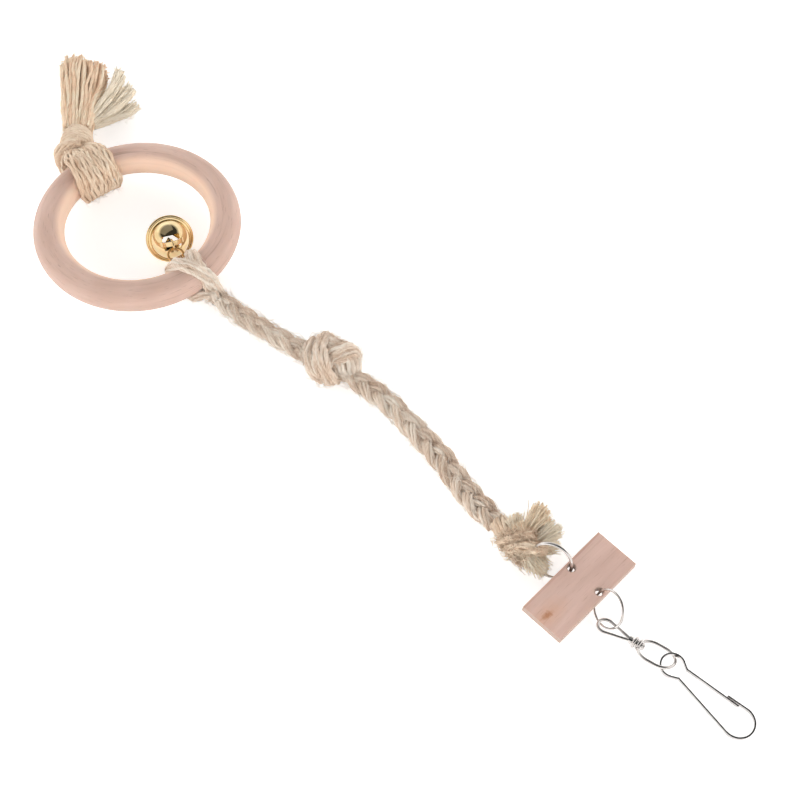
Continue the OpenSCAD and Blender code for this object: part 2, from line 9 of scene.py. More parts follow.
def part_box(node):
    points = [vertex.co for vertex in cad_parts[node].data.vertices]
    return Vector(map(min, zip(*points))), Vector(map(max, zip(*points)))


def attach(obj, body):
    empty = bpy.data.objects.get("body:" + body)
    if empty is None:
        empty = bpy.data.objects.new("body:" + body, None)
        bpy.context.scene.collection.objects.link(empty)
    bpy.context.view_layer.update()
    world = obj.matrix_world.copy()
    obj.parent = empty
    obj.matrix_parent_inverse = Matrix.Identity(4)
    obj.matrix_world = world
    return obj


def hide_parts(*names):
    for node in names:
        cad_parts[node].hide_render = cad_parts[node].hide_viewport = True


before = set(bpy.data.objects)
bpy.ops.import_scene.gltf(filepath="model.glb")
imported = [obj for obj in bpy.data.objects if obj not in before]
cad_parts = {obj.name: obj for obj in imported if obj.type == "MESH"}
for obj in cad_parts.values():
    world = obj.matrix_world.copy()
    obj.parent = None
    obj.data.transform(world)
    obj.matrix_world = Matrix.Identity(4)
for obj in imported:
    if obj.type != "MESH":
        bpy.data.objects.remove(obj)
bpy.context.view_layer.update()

# Lengths are in millimetres in the CAD frame and become metres when a mesh is made
MM = 0.001
UP = np.array([0.0, 0.0, 1.0])
# Distance between a line's points, and how many are worked out on each span of a smooth one
STEP = 0.45
SPAN_POINTS = 24
# A ripple is a sum of waves: how many times shorter each is, and how fast they fade
RIPPLE_WAVES = (1.0, 1.7, 2.9)
RIPPLE_FADE = 0.6
# Ribbons, fibres and tufts are laid no lower than this
FLOOR_GAP = 0.35
# No loose fibre stands further than this off its rope
FIBRE_STAND = 1.8
# Range of the yarns' tones, where a higher one is paler
TONES = (0.1, 1.0)
# A tube's ends close at a tip that stands out by this share of its radius
TIP = 0.4
# Each yarn starts anywhere in this length of the lay's pattern
LAY_RANGE = 500
# A bundle's core fills this share of it, and a ribbon's layers are this many radii apart
CORE_SHARE = 0.9
LAYER_DROP = 1.1
# Places of a fibre's points, as shares of its length, on a rope and in a tuft
FIBRE_SHARES = (0, 0.3, 0.65, 1.0)
TUFT_SHARES = (0.0, 0.3, 0.55, 0.8, 1.0)
# In a tuft, fibres stray about this far from their clump, as a share of the tuft's half width
CLUMP_STRAY = 0.17
# They are this much shorter at its edge and by chance, and flare with this power of their length
EDGE_SHORTER, CHANCE_SHORTER = 0.25, 0.3
FLARE = 1.3
# A line that starts steeper than this, as a share of upright, has its first up along X
STEEP = 0.9
# The camera: degrees round the toy and above the table, its place, its lens and its sensor
CAMERA_AZIMUTH = 43.7
CAMERA_ELEVATION = 57.0
CAMERA_PLACE = (223.96, -206.12, 458.72)
CAMERA_LENS = 76.5
SENSOR_WIDTH = 36


def placed(name, data):
    """A new object in the scene."""
    made = bpy.data.objects.new(name, data)
    bpy.context.scene.collection.objects.link(made)
    return made


def make_camera():
    """A camera at the photograph's place, with its viewing angle."""
    data = bpy.data.cameras.new("photo_camera")
    camera = placed("photo_camera", data)
    bpy.context.scene.camera = camera
    azimuth, elevation = math.radians(CAMERA_AZIMUTH), math.radians(CAMERA_ELEVATION)
    back = np.array([
        math.sin(azimuth) * math.cos(elevation),
        -math.cos(azimuth) * math.cos(elevation),
        math.sin(elevation),
    ])
    right = np.array([math.cos(azimuth), math.sin(azimuth), 0.0])
    matrix = np.eye(4)
    matrix[:3, 0] = right
    matrix[:3, 1] = np.cross(back, right)
    matrix[:3, 2] = back
    matrix[:3, 3] = np.array(CAMERA_PLACE) * MM
    camera.matrix_world = Matrix(matrix.tolist())
    data.lens = CAMERA_LENS
    data.sensor_width = SENSOR_WIDTH
    data.clip_start = 0.01
    data.clip_end = 20


# Lines and the axes along them
def unit(v):
    """The same direction with length 1."""
    v = np.asarray(v, float)
    return v / np.maximum(np.linalg.norm(v, axis=-1, keepdims=True), 1e-9)


def heading(degrees, lift=0.0):
    """A direction by its turn from X towards Y and its lift off the table."""
    a, b = math.radians(degrees), math.radians(lift)
    return np.array([math.cos(a) * math.cos(b), math.sin(a) * math.cos(b), math.sin(b)])


def lengths(path):
    """How far along a line each of its points is."""
    return np.r_[0, np.cumsum(np.linalg.norm(np.diff(path, axis=0), axis=1))]


def even(path, step):
    """The same line with its points a step apart."""
    s = lengths(path)
    count = max(4, int(round(s[-1] / step)) + 1)
    u = np.linspace(0, s[-1], count)
    return np.stack([np.interp(u, s, path[:, k]) for k in range(3)], 1)


def smooth(points, step=STEP, closed=False):
    """A Catmull-Rom curve through the points."""
    p = np.asarray(points, float)
    if closed:
        p = np.vstack([p[-1], p, p[:2]])
    else:
        p = np.vstack([2 * p[0] - p[1], p, 2 * p[-1] - p[-2]])
    t = np.linspace(0, 1, SPAN_POINTS, endpoint=False)[:, None]
    spans = [
        0.5 * (
            2 * b + (c - a) * t + (2 * a - 5 * b + 4 * c - d) * t ** 2
            + (3 * b - a - 3 * c + d) * t ** 3
        )
        for a, b, c, d in zip(p[:-3], p[1:-2], p[2:-1], p[3:])
    ]
    return even(np.vstack(spans + [p[-2][None]]), step)


def carried_axes(path):
    """Tangent, side and up along a line, carried without twist."""
    t = unit(np.gradient(path, axis=0))
    first = UP if abs(t[0][2]) < STEEP else np.array([1.0, 0, 0])
    n = np.zeros_like(t)
    n[0] = unit(first - t[0] * np.dot(first, t[0]))
    for i in range(1, len(t)):
        n[i] = unit(n[i - 1] - t[i] * np.dot(n[i - 1], t[i]))
    return t, np.cross(n, t), n


def level_axes(path):
    """Axes whose side stays level."""
    t = unit(np.gradient(path, axis=0))
    side = unit(np.cross(UP, t))
    return t, side, np.cross(t, side)


def outward_axes(path, centre):
    """Axes of a wrap: its up points away from the centre that it goes round."""
    t = unit(np.gradient(path, axis=0))
    n = path - np.asarray(centre, float)
    n = unit(n - t * np.sum(n * t, axis=1, keepdims=True))
    return t, np.cross(n, t), n


def ripple(s, rng, size, pitch):
    """Smooth seeded wandering along a length."""
    out = np.zeros_like(s)
    for k in RIPPLE_WAVES:
        phase = rng.uniform(0, 2 * math.pi)
        out += math.pow(RIPPLE_FADE, k) * np.sin(2 * np.pi * s / (pitch / k) + phase)
    return out * size


class Yarns:
    """Closed tubes whose points carry a tone for the yarn and their place in the yarn's lay."""

    def __init__(self, seed):
        self.rng = random.Random(seed)
        self.noise = np.random.default_rng(seed)
        self.verts, self.faces, self.tones, self.lays = [], [], [], []
        self.count = 0

    def tube(
        self, path, radius, axes=None, sides=8, plies=0, pitch=4.5, lobe=0.07, rough=0.06, tone=None
    ):
        """One yarn, a little rough, and twisted where it has plies."""
        rng = self.rng
        tone = rng.uniform(*TONES) if tone is None else tone
        n = len(path)
        t, side, up = axes if axes is not None else carried_axes(path)
        s = lengths(path)
        a = np.arange(sides) * 2 * np.pi / sides
        turn = 2 * np.pi * s / pitch + rng.uniform(0, 2 * math.pi)
        twisted = a[None, :] - turn[:, None]
        shape = 1 + self.noise.uniform(-rough, rough, (n, sides))
        if plies:
            shape += lobe * np.cos(plies * twisted)
        r = np.broadcast_to(np.asarray(radius, float), (n,))[:, None] * shape
        aside = (r * np.cos(a))[:, :, None] * side[:, None, :]
        above = (r * np.sin(a))[:, :, None] * up[:, None, :]
        ring = path[:, None, :] + aside + above
        start = rng.uniform(0, LAY_RANGE)
        lay = np.stack([
            np.broadcast_to(s[:, None] + start, r.shape),
            r * np.cos(twisted) + start,
            r * np.sin(twisted),
        ], -1).reshape(-1, 3)
        tips = [path[:1] - t[:1] * r[0, 0] * TIP, path[-1:] + t[-1:] * r[-1, 0] * TIP]
        self.verts += [ring.reshape(-1, 3)] + tips
        self.lays += [lay, lay[:1], lay[-1:]]
        self.tones.append(np.full(n * sides + 2, tone))
        k = np.arange(sides)
        j = (k + 1) % sides
        rows = (self.count + np.arange(n - 1) * sides)[:, None]
        quads = np.stack([rows + k, rows + j, rows + sides + j, rows + sides + k], -1).reshape(-1, 4)
        self.faces.extend(map(tuple, quads.tolist()))
        near, far = self.count, self.count + (n - 1) * sides
        tip = self.count + n * sides
        self.faces.extend((int(near + q), int(near + p), tip) for p, q in zip(k, j))
        self.faces.extend((int(far + p), int(far + q), tip + 1) for p, q in zip(k, j))
        self.count += n * sides + 2

    def girth(self, s, radius):
        """A yarn's radius along its length, which swells and thins and differs by yarn."""
        swell = 1 + ripple(s, self.rng, size=0.1, pitch=9)
        return radius * self.rng.uniform(0.85, 1.1) * swell

    def bundle(self, path, axes, count, wide, high, radius, twist, core=True, tones=TONES):
        """Yarns laid round a line, twisted so many turns in each millimetre."""
        rng = self.rng
        _, side, up = axes
        s = lengths(path)
        wide = np.broadcast_to(np.asarray(wide, float), s.shape)
        high = np.broadcast_to(np.asarray(high, float), s.shape)
        if core:
            self.tube(path, np.minimum(wide, high) * CORE_SHARE, axes, tone=2 * tones[0])
        for i in range(count):
            a = 2 * np.pi * (i / count + twist * s) + ripple(s, rng, size=0.16, pitch=26)
            x = wide * np.cos(a) * (1 + ripple(s, rng, size=0.1, pitch=14))
            y = high * np.sin(a) * (1 + ripple(s, rng, size=0.1, pitch=14))
            line = path + x[:, None] * side + y[:, None] * up
            self.tube(line, self.girth(s, radius), axes, plies=2, tone=rng.uniform(*tones))

    def ribbon(self, path, axes, count, half, crown, radius, layers=2):
        """Yarns laid side by side over a form, with fuller layers below."""
        rng = self.rng
        _, side, up = axes
        s = lengths(path)
        half = np.broadcast_to(np.asarray(half, float), s.shape)
        for layer in range(layers):
            for i in range(count + layer):
                share = 2 * (i + 0.5) / (count + layer) - 1
                x = share * half + ripple(s, rng, size=0.4, pitch=12)
                y = crown * (1 - share * share) - layer * radius * LAYER_DROP
                y = y + ripple(s, rng, size=0.25, pitch=11)
                line = path + x[:, None] * side + y[:, None] * up
                line[:, 2] = np.maximum(line[:, 2], FLOOR_GAP + radius)
                self.tube(line, self.girth(s, radius), axes, plies=2)

    def fibres(self, path, reach, count, long=(2.5, 7.0), stand=0.9, radius=0.045, near=0.85):
        """Loose fibres that lie on a rope and stand off it a little."""
        rng = self.rng
        t, side, up = carried_axes(path)
        for _ in range(count):
            i = rng.randrange(2, len(path) - 2)
            a = rng.uniform(0, 2 * np.pi)
            out = side[i] * math.cos(a) + up[i] * math.sin(a)
            length = rng.uniform(*long)
            start = path[i] + out * reach * rng.uniform(near - 0.1, near + 0.1)
            along = t[i] * rng.choice((-1, 1)) * rng.uniform(0.5, 1.0)
            bend = np.cross(t[i], out) * rng.uniform(-0.8, 0.8)
            high = stand * rng.uniform(0.2, 1.3)
            line = np.array([
                start + along * length * u + out * high * u * (1.4 - u) * 2 + bend * length * u * u
                for u in FIBRE_SHARES
            ])
            for p in line:
                nearest = path[np.argmin(np.sum((path - p) ** 2, axis=1))]
                off = p - nearest
                p[:] = nearest + off * min(1.0, (reach + FIBRE_STAND) / max(np.linalg.norm(off), 1e-6))
            line[:, 2] = np.maximum(line[:, 2], FLOOR_GAP)
            thick = radius * rng.uniform(0.7, 1.3)
            self.tube(smooth(line, 0.9), thick, sides=3, tone=rng.uniform(0.3, 1.2))

    def tuft(
        self, root, lie, length, near, far, count,
        bend=(0, 0, 0), flat=0.7, tones=TONES, clumps=11, fine=0.32
    ):
        """A brush of frayed fibres that flares to a round end."""
        rng = self.rng
        s1 = unit(np.cross(lie, UP))
        s2 = np.cross(s1, lie)
        spots = [(math.sqrt(rng.random()), rng.uniform(0, 2 * math.pi)) for _ in range(clumps)]
        for i in range(count):
            r, phi = spots[i % clumps]
            x = r * math.cos(phi) + rng.gauss(0, CLUMP_STRAY)
            y = (r * math.sin(phi) + rng.gauss(0, CLUMP_STRAY)) * flat
            reach = length * (1 - EDGE_SHORTER * min(1.2, x * x + y * y))
            reach = reach * (1.03 - CHANCE_SHORTER * rng.random() ** 2)
            curl = s1 * rng.gauss(0, 0.8) + s2 * rng.gauss(0, 0.6) + bend
            spread = s1 * x + s2 * y
            line = np.array([
                root + lie * reach * u + spread * (near + (far - near) * u ** FLARE) + curl * u * u
                for u in TUFT_SHARES
            ])
            line[:, 2] = np.maximum(line[:, 2], FLOOR_GAP)
            line = smooth(line, 1.0)
            thin = np.linspace(1.0, 0.5, len(line)) * fine * rng.uniform(0.8, 1.25)
            self.tube(line, thin, sides=5, tone=rng.uniform(*tones))

    def build(self, name, material, body, slot, *nodes):
        """The piece made of these yarns, on its body and in place of its CAD nodes."""
        mesh = bpy.data.meshes.new(name)
        mesh.from_pydata((np.vstack(self.verts) * MM).tolist(), [], self.faces)
        tone = mesh.attributes.new("tone", "FLOAT", "POINT")
        tone.data.foreach_set("value", np.concatenate(self.tones).astype(np.float32))
        lay = mesh.attributes.new("lay", "FLOAT_VECTOR", "POINT")
        lay.data.foreach_set("vector", (np.vstack(self.lays) * MM).astype(np.float32).ravel())
        mesh.polygons.foreach_set("use_smooth", [True] * len(mesh.polygons))
        mesh.materials.append(material)
        piece = placed(name, mesh)
        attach(piece, body)
        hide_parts(*nodes)
        return piece


# Materials
def srgb(*levels):
    """A colour for the shader from its red, green and blue between 0 and 255."""
    shares = [level / 255 for level in levels]
    return tuple(c / 12.92 if c <= 0.04045 else ((c + 0.055) / 1.055) ** 2.4 for c in shares)


# Sockets of a Mix node that mixes colours: three inputs and one output
MIX_FACTOR, MIX_A, MIX_B, MIX_RESULT = 0, 6, 7, 2
# Centimetres in a metre
CENTIMETRES = 100.0


class Nodes:
    """Shorthand for a material's node tree."""

    def __init__(self, name):
        self.material = bpy.data.materials.new(name)
        self.material.use_nodes = True
        self.tree = self.material.node_tree
        self.shader = self.tree.nodes["Principled BSDF"]
        self.place = self.node("TexCoord").outputs["Object"]

    def node(self, kind, **settings):
        """A new node with its own settings, or else the values of its inputs."""
        made = self.tree.nodes.new("ShaderNode" + kind)
        for key, value in settings.items():
            if hasattr(made, key):
                setattr(made, key, value)
            else:
                made.inputs[key.replace("_", " ")].default_value = value
        return made

    def link(self, source, target):
        self.tree.links.new(source, target)

    def set(self, **values):
        for key, value in values.items():
            self.shader.inputs[key.replace("_", " ")].default_value = value

    def colour(self, source):
        self.link(source, self.shader.inputs["Base Color"])

    def ramp(self, source, stops):
        made = self.node("ValToRGB")
        elements = made.color_ramp.elements
        while len(elements) < len(stops):
            elements.new(0.5)
        for element, (place, colour) in zip(elements, stops):
            element.position = place
            element.color = (*colour, 1)
        self.link(source, made.inputs["Fac"])
        return made.outputs["Color"]

    def grey(self, source, low, high, at_low=0.0, at_high=1.0):
        """A level that turns from one to another between two values of the source."""
        return self.ramp(source, [(low, (at_low,) * 3), (high, (at_high,) * 3)])

    def noise(self, scale, detail=3.0, rough=0.5, vector=None):
        made = self.node("TexNoise", Scale=scale, Detail=detail, Roughness=rough)
        self.link(self.place if vector is None else vector, made.inputs["Vector"])
        return made.outputs["Fac"]

    def mapped(self, vector, scale):
        made = self.node("Mapping", Scale=scale)
        self.link(vector, made.inputs["Vector"])
        return made.outputs["Vector"]

    def drawn_out(self, vector, along, across, detail, rough):
        """Noise in streaks, by its scale along the vector's first axis and across it."""
        return self.noise(1.0, detail, rough, self.mapped(vector, (along, across, across)))

    def math(self, kind, *values):
        made = self.node("Math", operation=kind)
        for socket, value in zip(made.inputs, values):
            if isinstance(value, (int, float)):
                socket.default_value = value
            else:
                self.link(value, socket)
        return made.outputs[0]

    def parts(self, vector):
        made = self.node("SeparateXYZ")
        self.link(vector, made.inputs[0])
        return made.outputs[0], made.outputs[1], made.outputs[2]

    def joined(self, *values):
        made = self.node("CombineXYZ")
        for socket, value in zip(made.inputs, values):
            self.link(value, socket)
        return made.outputs[0]

    def away(self, vector, point):
        """Centimetres to a point: a ramp can't tell smaller numbers apart."""
        made = self.node("VectorMath", operation="DISTANCE")
        self.link(vector, made.inputs[0])
        made.inputs[1].default_value = point
        return self.math("MULTIPLY", made.outputs["Value"], CENTIMETRES)

    def mix(self, factor, a, b):
        made = self.node("Mix", data_type="RGBA")
        for index, value in ((MIX_FACTOR, factor), (MIX_A, a), (MIX_B, b)):
            socket = made.inputs[index]
            if isinstance(value, (int, float)):
                socket.default_value = value
            elif isinstance(value, tuple):
                socket.default_value = (*value, 1)
            else:
                self.link(value, socket)
        return made.outputs[MIX_RESULT]

    def tint(self, colour, other, mask, share):
        """The colour, turned towards another one by a share of a mask."""
        return self.mix(self.math("MULTIPLY", mask, share), colour, other)

    def bump(self, height, strength, distance):
        made = self.node("Bump", Strength=strength, Distance=distance)
        self.link(height, made.inputs["Height"])
        self.link(made.outputs["Normal"], self.shader.inputs["Normal"])


# A yarn's colour comes from its tone, patches, streaks and hairs in these shares
TONE_SHARE, PATCH_SHARE, STREAK_SHARE, HAIR_SHARE = 0.28, 0.36, 0.55, 0.16
# Their sum at its dark, middle and pale colour
YARN_STOPS = (0.42, 0.62, 0.84)


def yarn_material(name, dark, mid, pale, fuzz=0.08):
    """Spun bast fibre: a tone for each yarn, patches, and fine streaks along the lay."""
    m = Nodes(name)
    tone = m.node("Attribute", attribute_name="tone").outputs["Fac"]
    lay = m.node("Attribute", attribute_name="lay").outputs["Vector"]
    streak = m.drawn_out(lay, along=160, across=2600, detail=3, rough=0.65)
    hair = m.drawn_out(lay, along=420, across=6500, detail=2, rough=0.6)
    patch = m.noise(110, detail=2)
    value = m.math("MULTIPLY_ADD", tone, TONE_SHARE, m.math("MULTIPLY", patch, PATCH_SHARE))
    value = m.math("MULTIPLY_ADD", streak, STREAK_SHARE, value)
    value = m.math("MULTIPLY_ADD", hair, HAIR_SHARE, value)
    m.colour(m.ramp(value, list(zip(YARN_STOPS, (dark, mid, pale)))))
    m.set(Roughness=0.95, Specular_IOR_Level=0.15, Sheen_Weight=fuzz, Sheen_Roughness=0.6)
    m.set(Sheen_Tint=(1, 0.94, 0.85, 1))
    m.bump(m.math("ADD", streak, hair), strength=0.9, distance=0.00035)
    return m.material


def wood_colours(m, along, grain, pale, mid, dark):
    """Long soft streaks, fine dark lines and short pores in turned or sawn wood."""
    soft = m.drawn_out(grain, along=along, across=260, detail=3, rough=0.55)
    fine = m.drawn_out(grain, along=2 * along, across=1500, detail=3, rough=0.6)
    line = m.drawn_out(grain, along=0.5 * along, across=700, detail=2, rough=0.5)
    pore = m.drawn_out(grain, along=6 * along, across=3600, detail=1, rough=0.5)
    colour = m.ramp(soft, [(0.32, mid), (0.68, pale)])
    colour = m.tint(colour, mid, m.grey(fine, 0.42, 0.68), 0.35)
    colour = m.tint(colour, dark, m.grey(line, 0.6, 0.68), 0.4)
    colour = m.tint(colour, dark, m.grey(pore, 0.66, 0.74), 0.4)
    m.set(Roughness=0.6, Specular_IOR_Level=0.25, Subsurface_Weight=0.3, Subsurface_Scale=0.003)
    m.set(Subsurface_Radius=(1.0, 0.55, 0.35))
    m.bump(fine, strength=0.2, distance=0.0001)
    return colour


RING_WOOD = {"pale": srgb(218, 190, 178), "mid": srgb(202, 173, 160), "dark": srgb(138, 106, 92)}
RING_PATCH = srgb(196, 165, 151)
# The ring's middle radius in metres, which turns an angle into a length along the grain
RING_MIDDLE = 0.03
# The ring's inner wall is painted paler, as painted light from the bright table below: its radius where
# that starts and ends, in twentieths of a metre
TWENTIETHS = 20.0
INNER_WALL = (0.515, 0.55)
INNER_LIGHT_COLOUR = srgb(246, 216, 194)


def ring_wood_material(centre, seam):
    """Grain that follows the ring, with its seam turned to the heading that the tassel hides, and
    painted light on its inner wall.
    """
    m = Nodes("ring_wood")
    x, y, z = m.parts(m.place)
    dx, dy = m.math("SUBTRACT", x, centre[0]), m.math("SUBTRACT", y, centre[1])
    c, s = math.cos(seam - math.pi), math.sin(seam - math.pi)
    u = m.math("MULTIPLY_ADD", dx, c, m.math("MULTIPLY", dy, s))
    v = m.math("MULTIPLY_ADD", dx, -s, m.math("MULTIPLY", dy, c))
    angle = m.math("MULTIPLY", m.math("ARCTAN2", v, u), RING_MIDDLE)
    reach = m.math("SQRT", m.math("MULTIPLY_ADD", u, u, m.math("MULTIPLY", v, v)))
    colour = wood_colours(m, 45, m.joined(angle, reach, z), **RING_WOOD)
    colour = m.tint(colour, RING_PATCH, m.grey(m.noise(60, detail=2), 0.45, 0.7), 0.35)
    # Painted light: the inner wall is tinted paler and warmer, as if lit from the table below
    painted_inner_light = m.grey(m.math("MULTIPLY", reach, TWENTIETHS), *INNER_WALL, at_low=1.0, at_high=0.0)
    m.colour(m.tint(colour, INNER_LIGHT_COLOUR, painted_inner_light, 0.8))
    return m.material


PLATE_WOOD = {"pale": srgb(220, 190, 179), "mid": srgb(206, 175, 163), "dark": srgb(174, 136, 118)}
# The plate's knot: how it is stretched, and its halo and heart in centimetres from its middle
KNOT_STRETCH = (1.7, 0.8, 1.0)
KNOT_HALO, HALO_COLOUR = (0.3, 0.98), srgb(214, 160, 122)
KNOT_HEART, HEART_COLOUR = (0.3, 0.44), srgb(172, 112, 72)
# Painted shade round a hole, a dark ring in centimetres from its middle
HOLE_RIM, HOLE_SHADE_COLOUR = (0.118, 0.142), srgb(92, 60, 46)
# The plate's edge is greyer, painted shade where its surface turns from level to upright
EDGE_TURN, EDGE_SHADE_COLOUR = (0.5, 0.9), srgb(184, 164, 152)


def plate_wood_material(knot, holes):
    """Sawn wood with a small brown knot, painted shade as a dark ring at each hole and painted shade on
    its upright edges.
    """
    m = Nodes("plate_wood")
    x, y, z = m.parts(m.place)
    colour = wood_colours(m, 40, m.joined(y, x, z), **PLATE_WOOD)
    middle = tuple(place * stretch for place, stretch in zip(knot, KNOT_STRETCH))
    near = m.away(m.mapped(m.place, KNOT_STRETCH), middle)
    swirl = m.math("MULTIPLY_ADD", m.noise(420, detail=3), 0.5, near)
    colour = m.tint(colour, HALO_COLOUR, m.grey(swirl, *KNOT_HALO, at_low=1.0, at_high=0.0), 0.4)
    colour = m.tint(colour, HEART_COLOUR, m.grey(swirl, *KNOT_HEART, at_low=1.0, at_high=0.0), 0.7)
    flat = m.mapped(m.place, (1, 1, 0))
    for hole in holes:
        # Painted shade darkens the wood round each hole
        hole_shade = m.grey(m.away(flat, (*hole, 0)), *HOLE_RIM, at_low=1.0, at_high=0.0)
        colour = m.tint(colour, HOLE_SHADE_COLOUR, hole_shade, 0.85)
    # Painted shade: the upright faces are turned greyer by their normal
    facing = m.math("ABSOLUTE", m.parts(m.node("TexCoord").outputs["Normal"])[2])
    edge = m.grey(facing, *EDGE_TURN, at_low=1.0, at_high=0.0)
    m.colour(m.tint(colour, EDGE_SHADE_COLOUR, edge, 0.75))
    m.set(Subsurface_Weight=0.12)
    return m.material


def metal_material(name, pale, dark, rough):
    """Polished plating with faint clouds and wear."""
    m = Nodes(name)
    m.colour(m.ramp(m.noise(260, detail=3), [(0.35, dark), (0.65, pale)]))
    m.set(Metallic=1.0)
    wear = m.grey(m.noise(900, detail=4, rough=0.7), 0.3, 0.75, rough * 0.7, rough * 1.5)
    m.link(wear, m.shader.inputs["Roughness"])
    m.bump(m.noise(700, detail=2), strength=0.1, distance=0.0001)
    return m.material


make_camera()
JUTE = yarn_material("jute_yarn", srgb(188, 158, 134), srgb(238, 217, 198), srgb(255, 246, 234))
TASSEL = yarn_material("tassel_yarn", srgb(202, 164, 134), srgb(240, 212, 186), srgb(255, 238, 216))
FRINGE = yarn_material("fringe_yarn", srgb(224, 184, 152), srgb(252, 220, 190), srgb(255, 241, 216))
TUFT = yarn_material(
    "frayed_fibre", srgb(255, 212, 174), srgb(255, 234, 205), srgb(255, 245, 226), fuzz=0.2
)

# Braid: one rope that passes through the middle knot
ROPE_LOW = [(-51, -5, 3.8), (-41, -4.5, 3.8), (-29, -3, 3.8), (-14, -0.5, 4.2)]
ROPE_UP = [
    (4, 3, 4.2), (17, 4, 3.8), (32, 2.5, 3.8), (47, 0, 3.8), (61, -3.5, 3.8), (72, -4.5, 3.8),
]
BRAID_PERIOD = 23.0
# How far the strands swing aside, by the place along X: the lower braid is the slimmer
BRAID_X = (-51, -40, -14, 4, 30, 60, 72)
BRAID_WIDE = (1.6, 1.75, 1.7, 1.9, 2.2, 2.5, 1.9)
BRAID_HIGH = 1.25
# A strand is this thick, and thicker by this share of its swing
STRAND_THICK, SWING_SHARE = 0.5, 0.26
# Within this reach of the knot the braid draws in by these shares
KNOT_X, KNOT_REACH = -5, 8.5
GRIP_WIDE, GRIP_HIGH = 0.6, 0.3


def make_braid():
    """Three strands of yarns that pass over each other along the rope."""
    line = smooth(ROPE_LOW + ROPE_UP)
    _, side, up = level_axes(line)
    s = lengths(line)
    yarns = Yarns(seed=3)
    near_knot = np.exp(-((line[:, 0] - KNOT_X) / KNOT_REACH) ** 4)
    wide = np.interp(line[:, 0], BRAID_X, BRAID_WIDE)
    thick = STRAND_THICK + SWING_SHARE * wide
    wide = wide * (1 - GRIP_WIDE * near_knot) * (1 + ripple(s, yarns.rng, size=0.1, pitch=30))
    high = BRAID_HIGH * (1 - GRIP_HIGH * near_knot)
    phase = s / BRAID_PERIOD + ripple(s, yarns.rng, size=0.05, pitch=45)
    # Where the strands start, for the hitch's strands to run into
    starts = []
    for k in range(3):
        a = 2 * np.pi * (phase + k / 3)
        strand = line + (wide * np.sin(a))[:, None] * side + (high * np.sin(2 * a))[:, None] * up
        yarns.bundle(
            strand, carried_axes(strand), count=8,
            wide=1.25 * thick, high=1.05 * thick, radius=0.54, twist=1 / 27,
        )
        starts.append([strand[0], strand[3]])
    yarns.fibres(line, reach=3.4, count=800, stand=1.0)
    yarns.fibres(line, reach=3.0, count=700, stand=0.5, near=1.0, radius=0.06)
    piece = yarns.build("rope_braid", JUTE, "rope", "jute_rope", "rope_lower_braid", "rope_upper_braid")
    return piece, line, s[-1], starts


# Middle knot: four wraps round a core, each with its yarns, half width and the points of its loop
KNOT_CENTRE = (-6.0, 3.0, 6.0)
KNOT_WRAPS = [
    (7, 2.8, [
        (-13.4, 6.2, 7), (-10.2, 1.6, 10.4), (-6.2, -2.2, 11), (-3, -3.6, 8),
        (-1.2, -2.2, 3.6), (-5, 2.4, 1.4), (-10.4, 6.2, 1.6), (-13, 7.4, 3.4),
    ]),
    (4, 1.3, [
        (-15, 3.8, 6), (-13, -0.8, 8.6), (-9.8, -4, 8.6), (-6.4, -5, 5.8),
        (-4, -3.8, 3), (-8.6, -0.8, 1.4), (-14, 3, 1.8),
    ]),
    (9, 3.2, [
        (-4.4, -1, 6), (-4.2, 0.8, 9.4), (-2.6, 4, 10.8), (-2, 7.6, 9.2),
        (-1.4, 9.3, 5.6), (-1.6, 8, 2.4), (-3, 4.6, 1.4), (-4.2, 1, 2),
    ]),
    (6, 2.2, [
        (-13.2, 5, 5), (-11.6, 5.8, 8.4), (-8, 6, 10.2), (-4.4, 7.6, 9),
        (-2.2, 9, 6), (-3.6, 8, 2.6), (-8, 6.4, 1.4), (-12, 5, 2),
    ]),
]
KNOT_CORE = [(-13, 0.6, 4.8), (-9.5, 2, 5.6), (-5, 3.4, 5.8), (-0.5, 4.4, 5.2), (3, 3.6, 4.4)]
# The core's half width, by the place along X
CORE_X = (-13, -9.5, -1, 3)
CORE_HALF = (2.4, 4.7, 4.5, 2.2)


def make_middle_knot():
    """Wraps of yarns laid round a thick core."""
    yarns = Yarns(seed=5)
    for count, half, points in KNOT_WRAPS:
        line = smooth(points, closed=True)
        yarns.ribbon(line, outward_axes(line, KNOT_CENTRE), count, half, crown=1.1, radius=0.6)
        yarns.fibres(line, reach=1.3, count=260, stand=0.9, radius=0.055)
    core = smooth(KNOT_CORE)
    half = np.interp(core[:, 0], CORE_X, CORE_HALF)
    yarns.bundle(core, carried_axes(core), count=16, wide=half, high=half, radius=0.9, twist=1 / 60)
    return yarns.build("middle_knot", JUTE, "rope", "jute_rope", "rope_middle_knot")


# Hitch on the ring: one strand comes from beneath the ring and two go round it
# Each has its yarns, half width, the braid's strand that it runs into, and its points
HITCH_STRANDS = [
    (6, 1.6, 0, [
        (-66, -8.6, 1.2), (-61.6, -9.8, 1.0), (-58.0, -9.4, 2.0), (-55.6, -8.4, 4.2),
        (-53.4, -7.2, 4.6),
    ]),
    (6, 1.9, 1, [
        (-57, -7.6, 2.4), (-62, -8.2, 0.9), (-67.6, -10, 3), (-69.4, -10.6, 8),
        (-67.2, -9.8, 12.4), (-63, -8.5, 14.9), (-59.2, -6.9, 14.4), (-56.4, -5.0, 11.6),
        (-54.2, -3.6, 8.4),
    ]),
    (6, 1.9, 2, [
        (-57, -3.8, 1.8), (-62, -3, 0.9), (-67.4, -1.6, 3), (-69.0, -1.2, 8),
        (-66.6, -2.2, 12.4), (-63, -4, 14.2), (-59.4, -5.4, 13.2), (-56.2, -5.4, 9.6),
        (-54, -5, 6.2),
    ]),
]
HITCH_CENTRE = (-61.74, -5.0, 8.5)
# A strand narrows from its own half width to these, by the distance that it still has to go
HITCH_TO_GO = (0, 4, 9)
HITCH_NARROW = (1.35, 1.45)


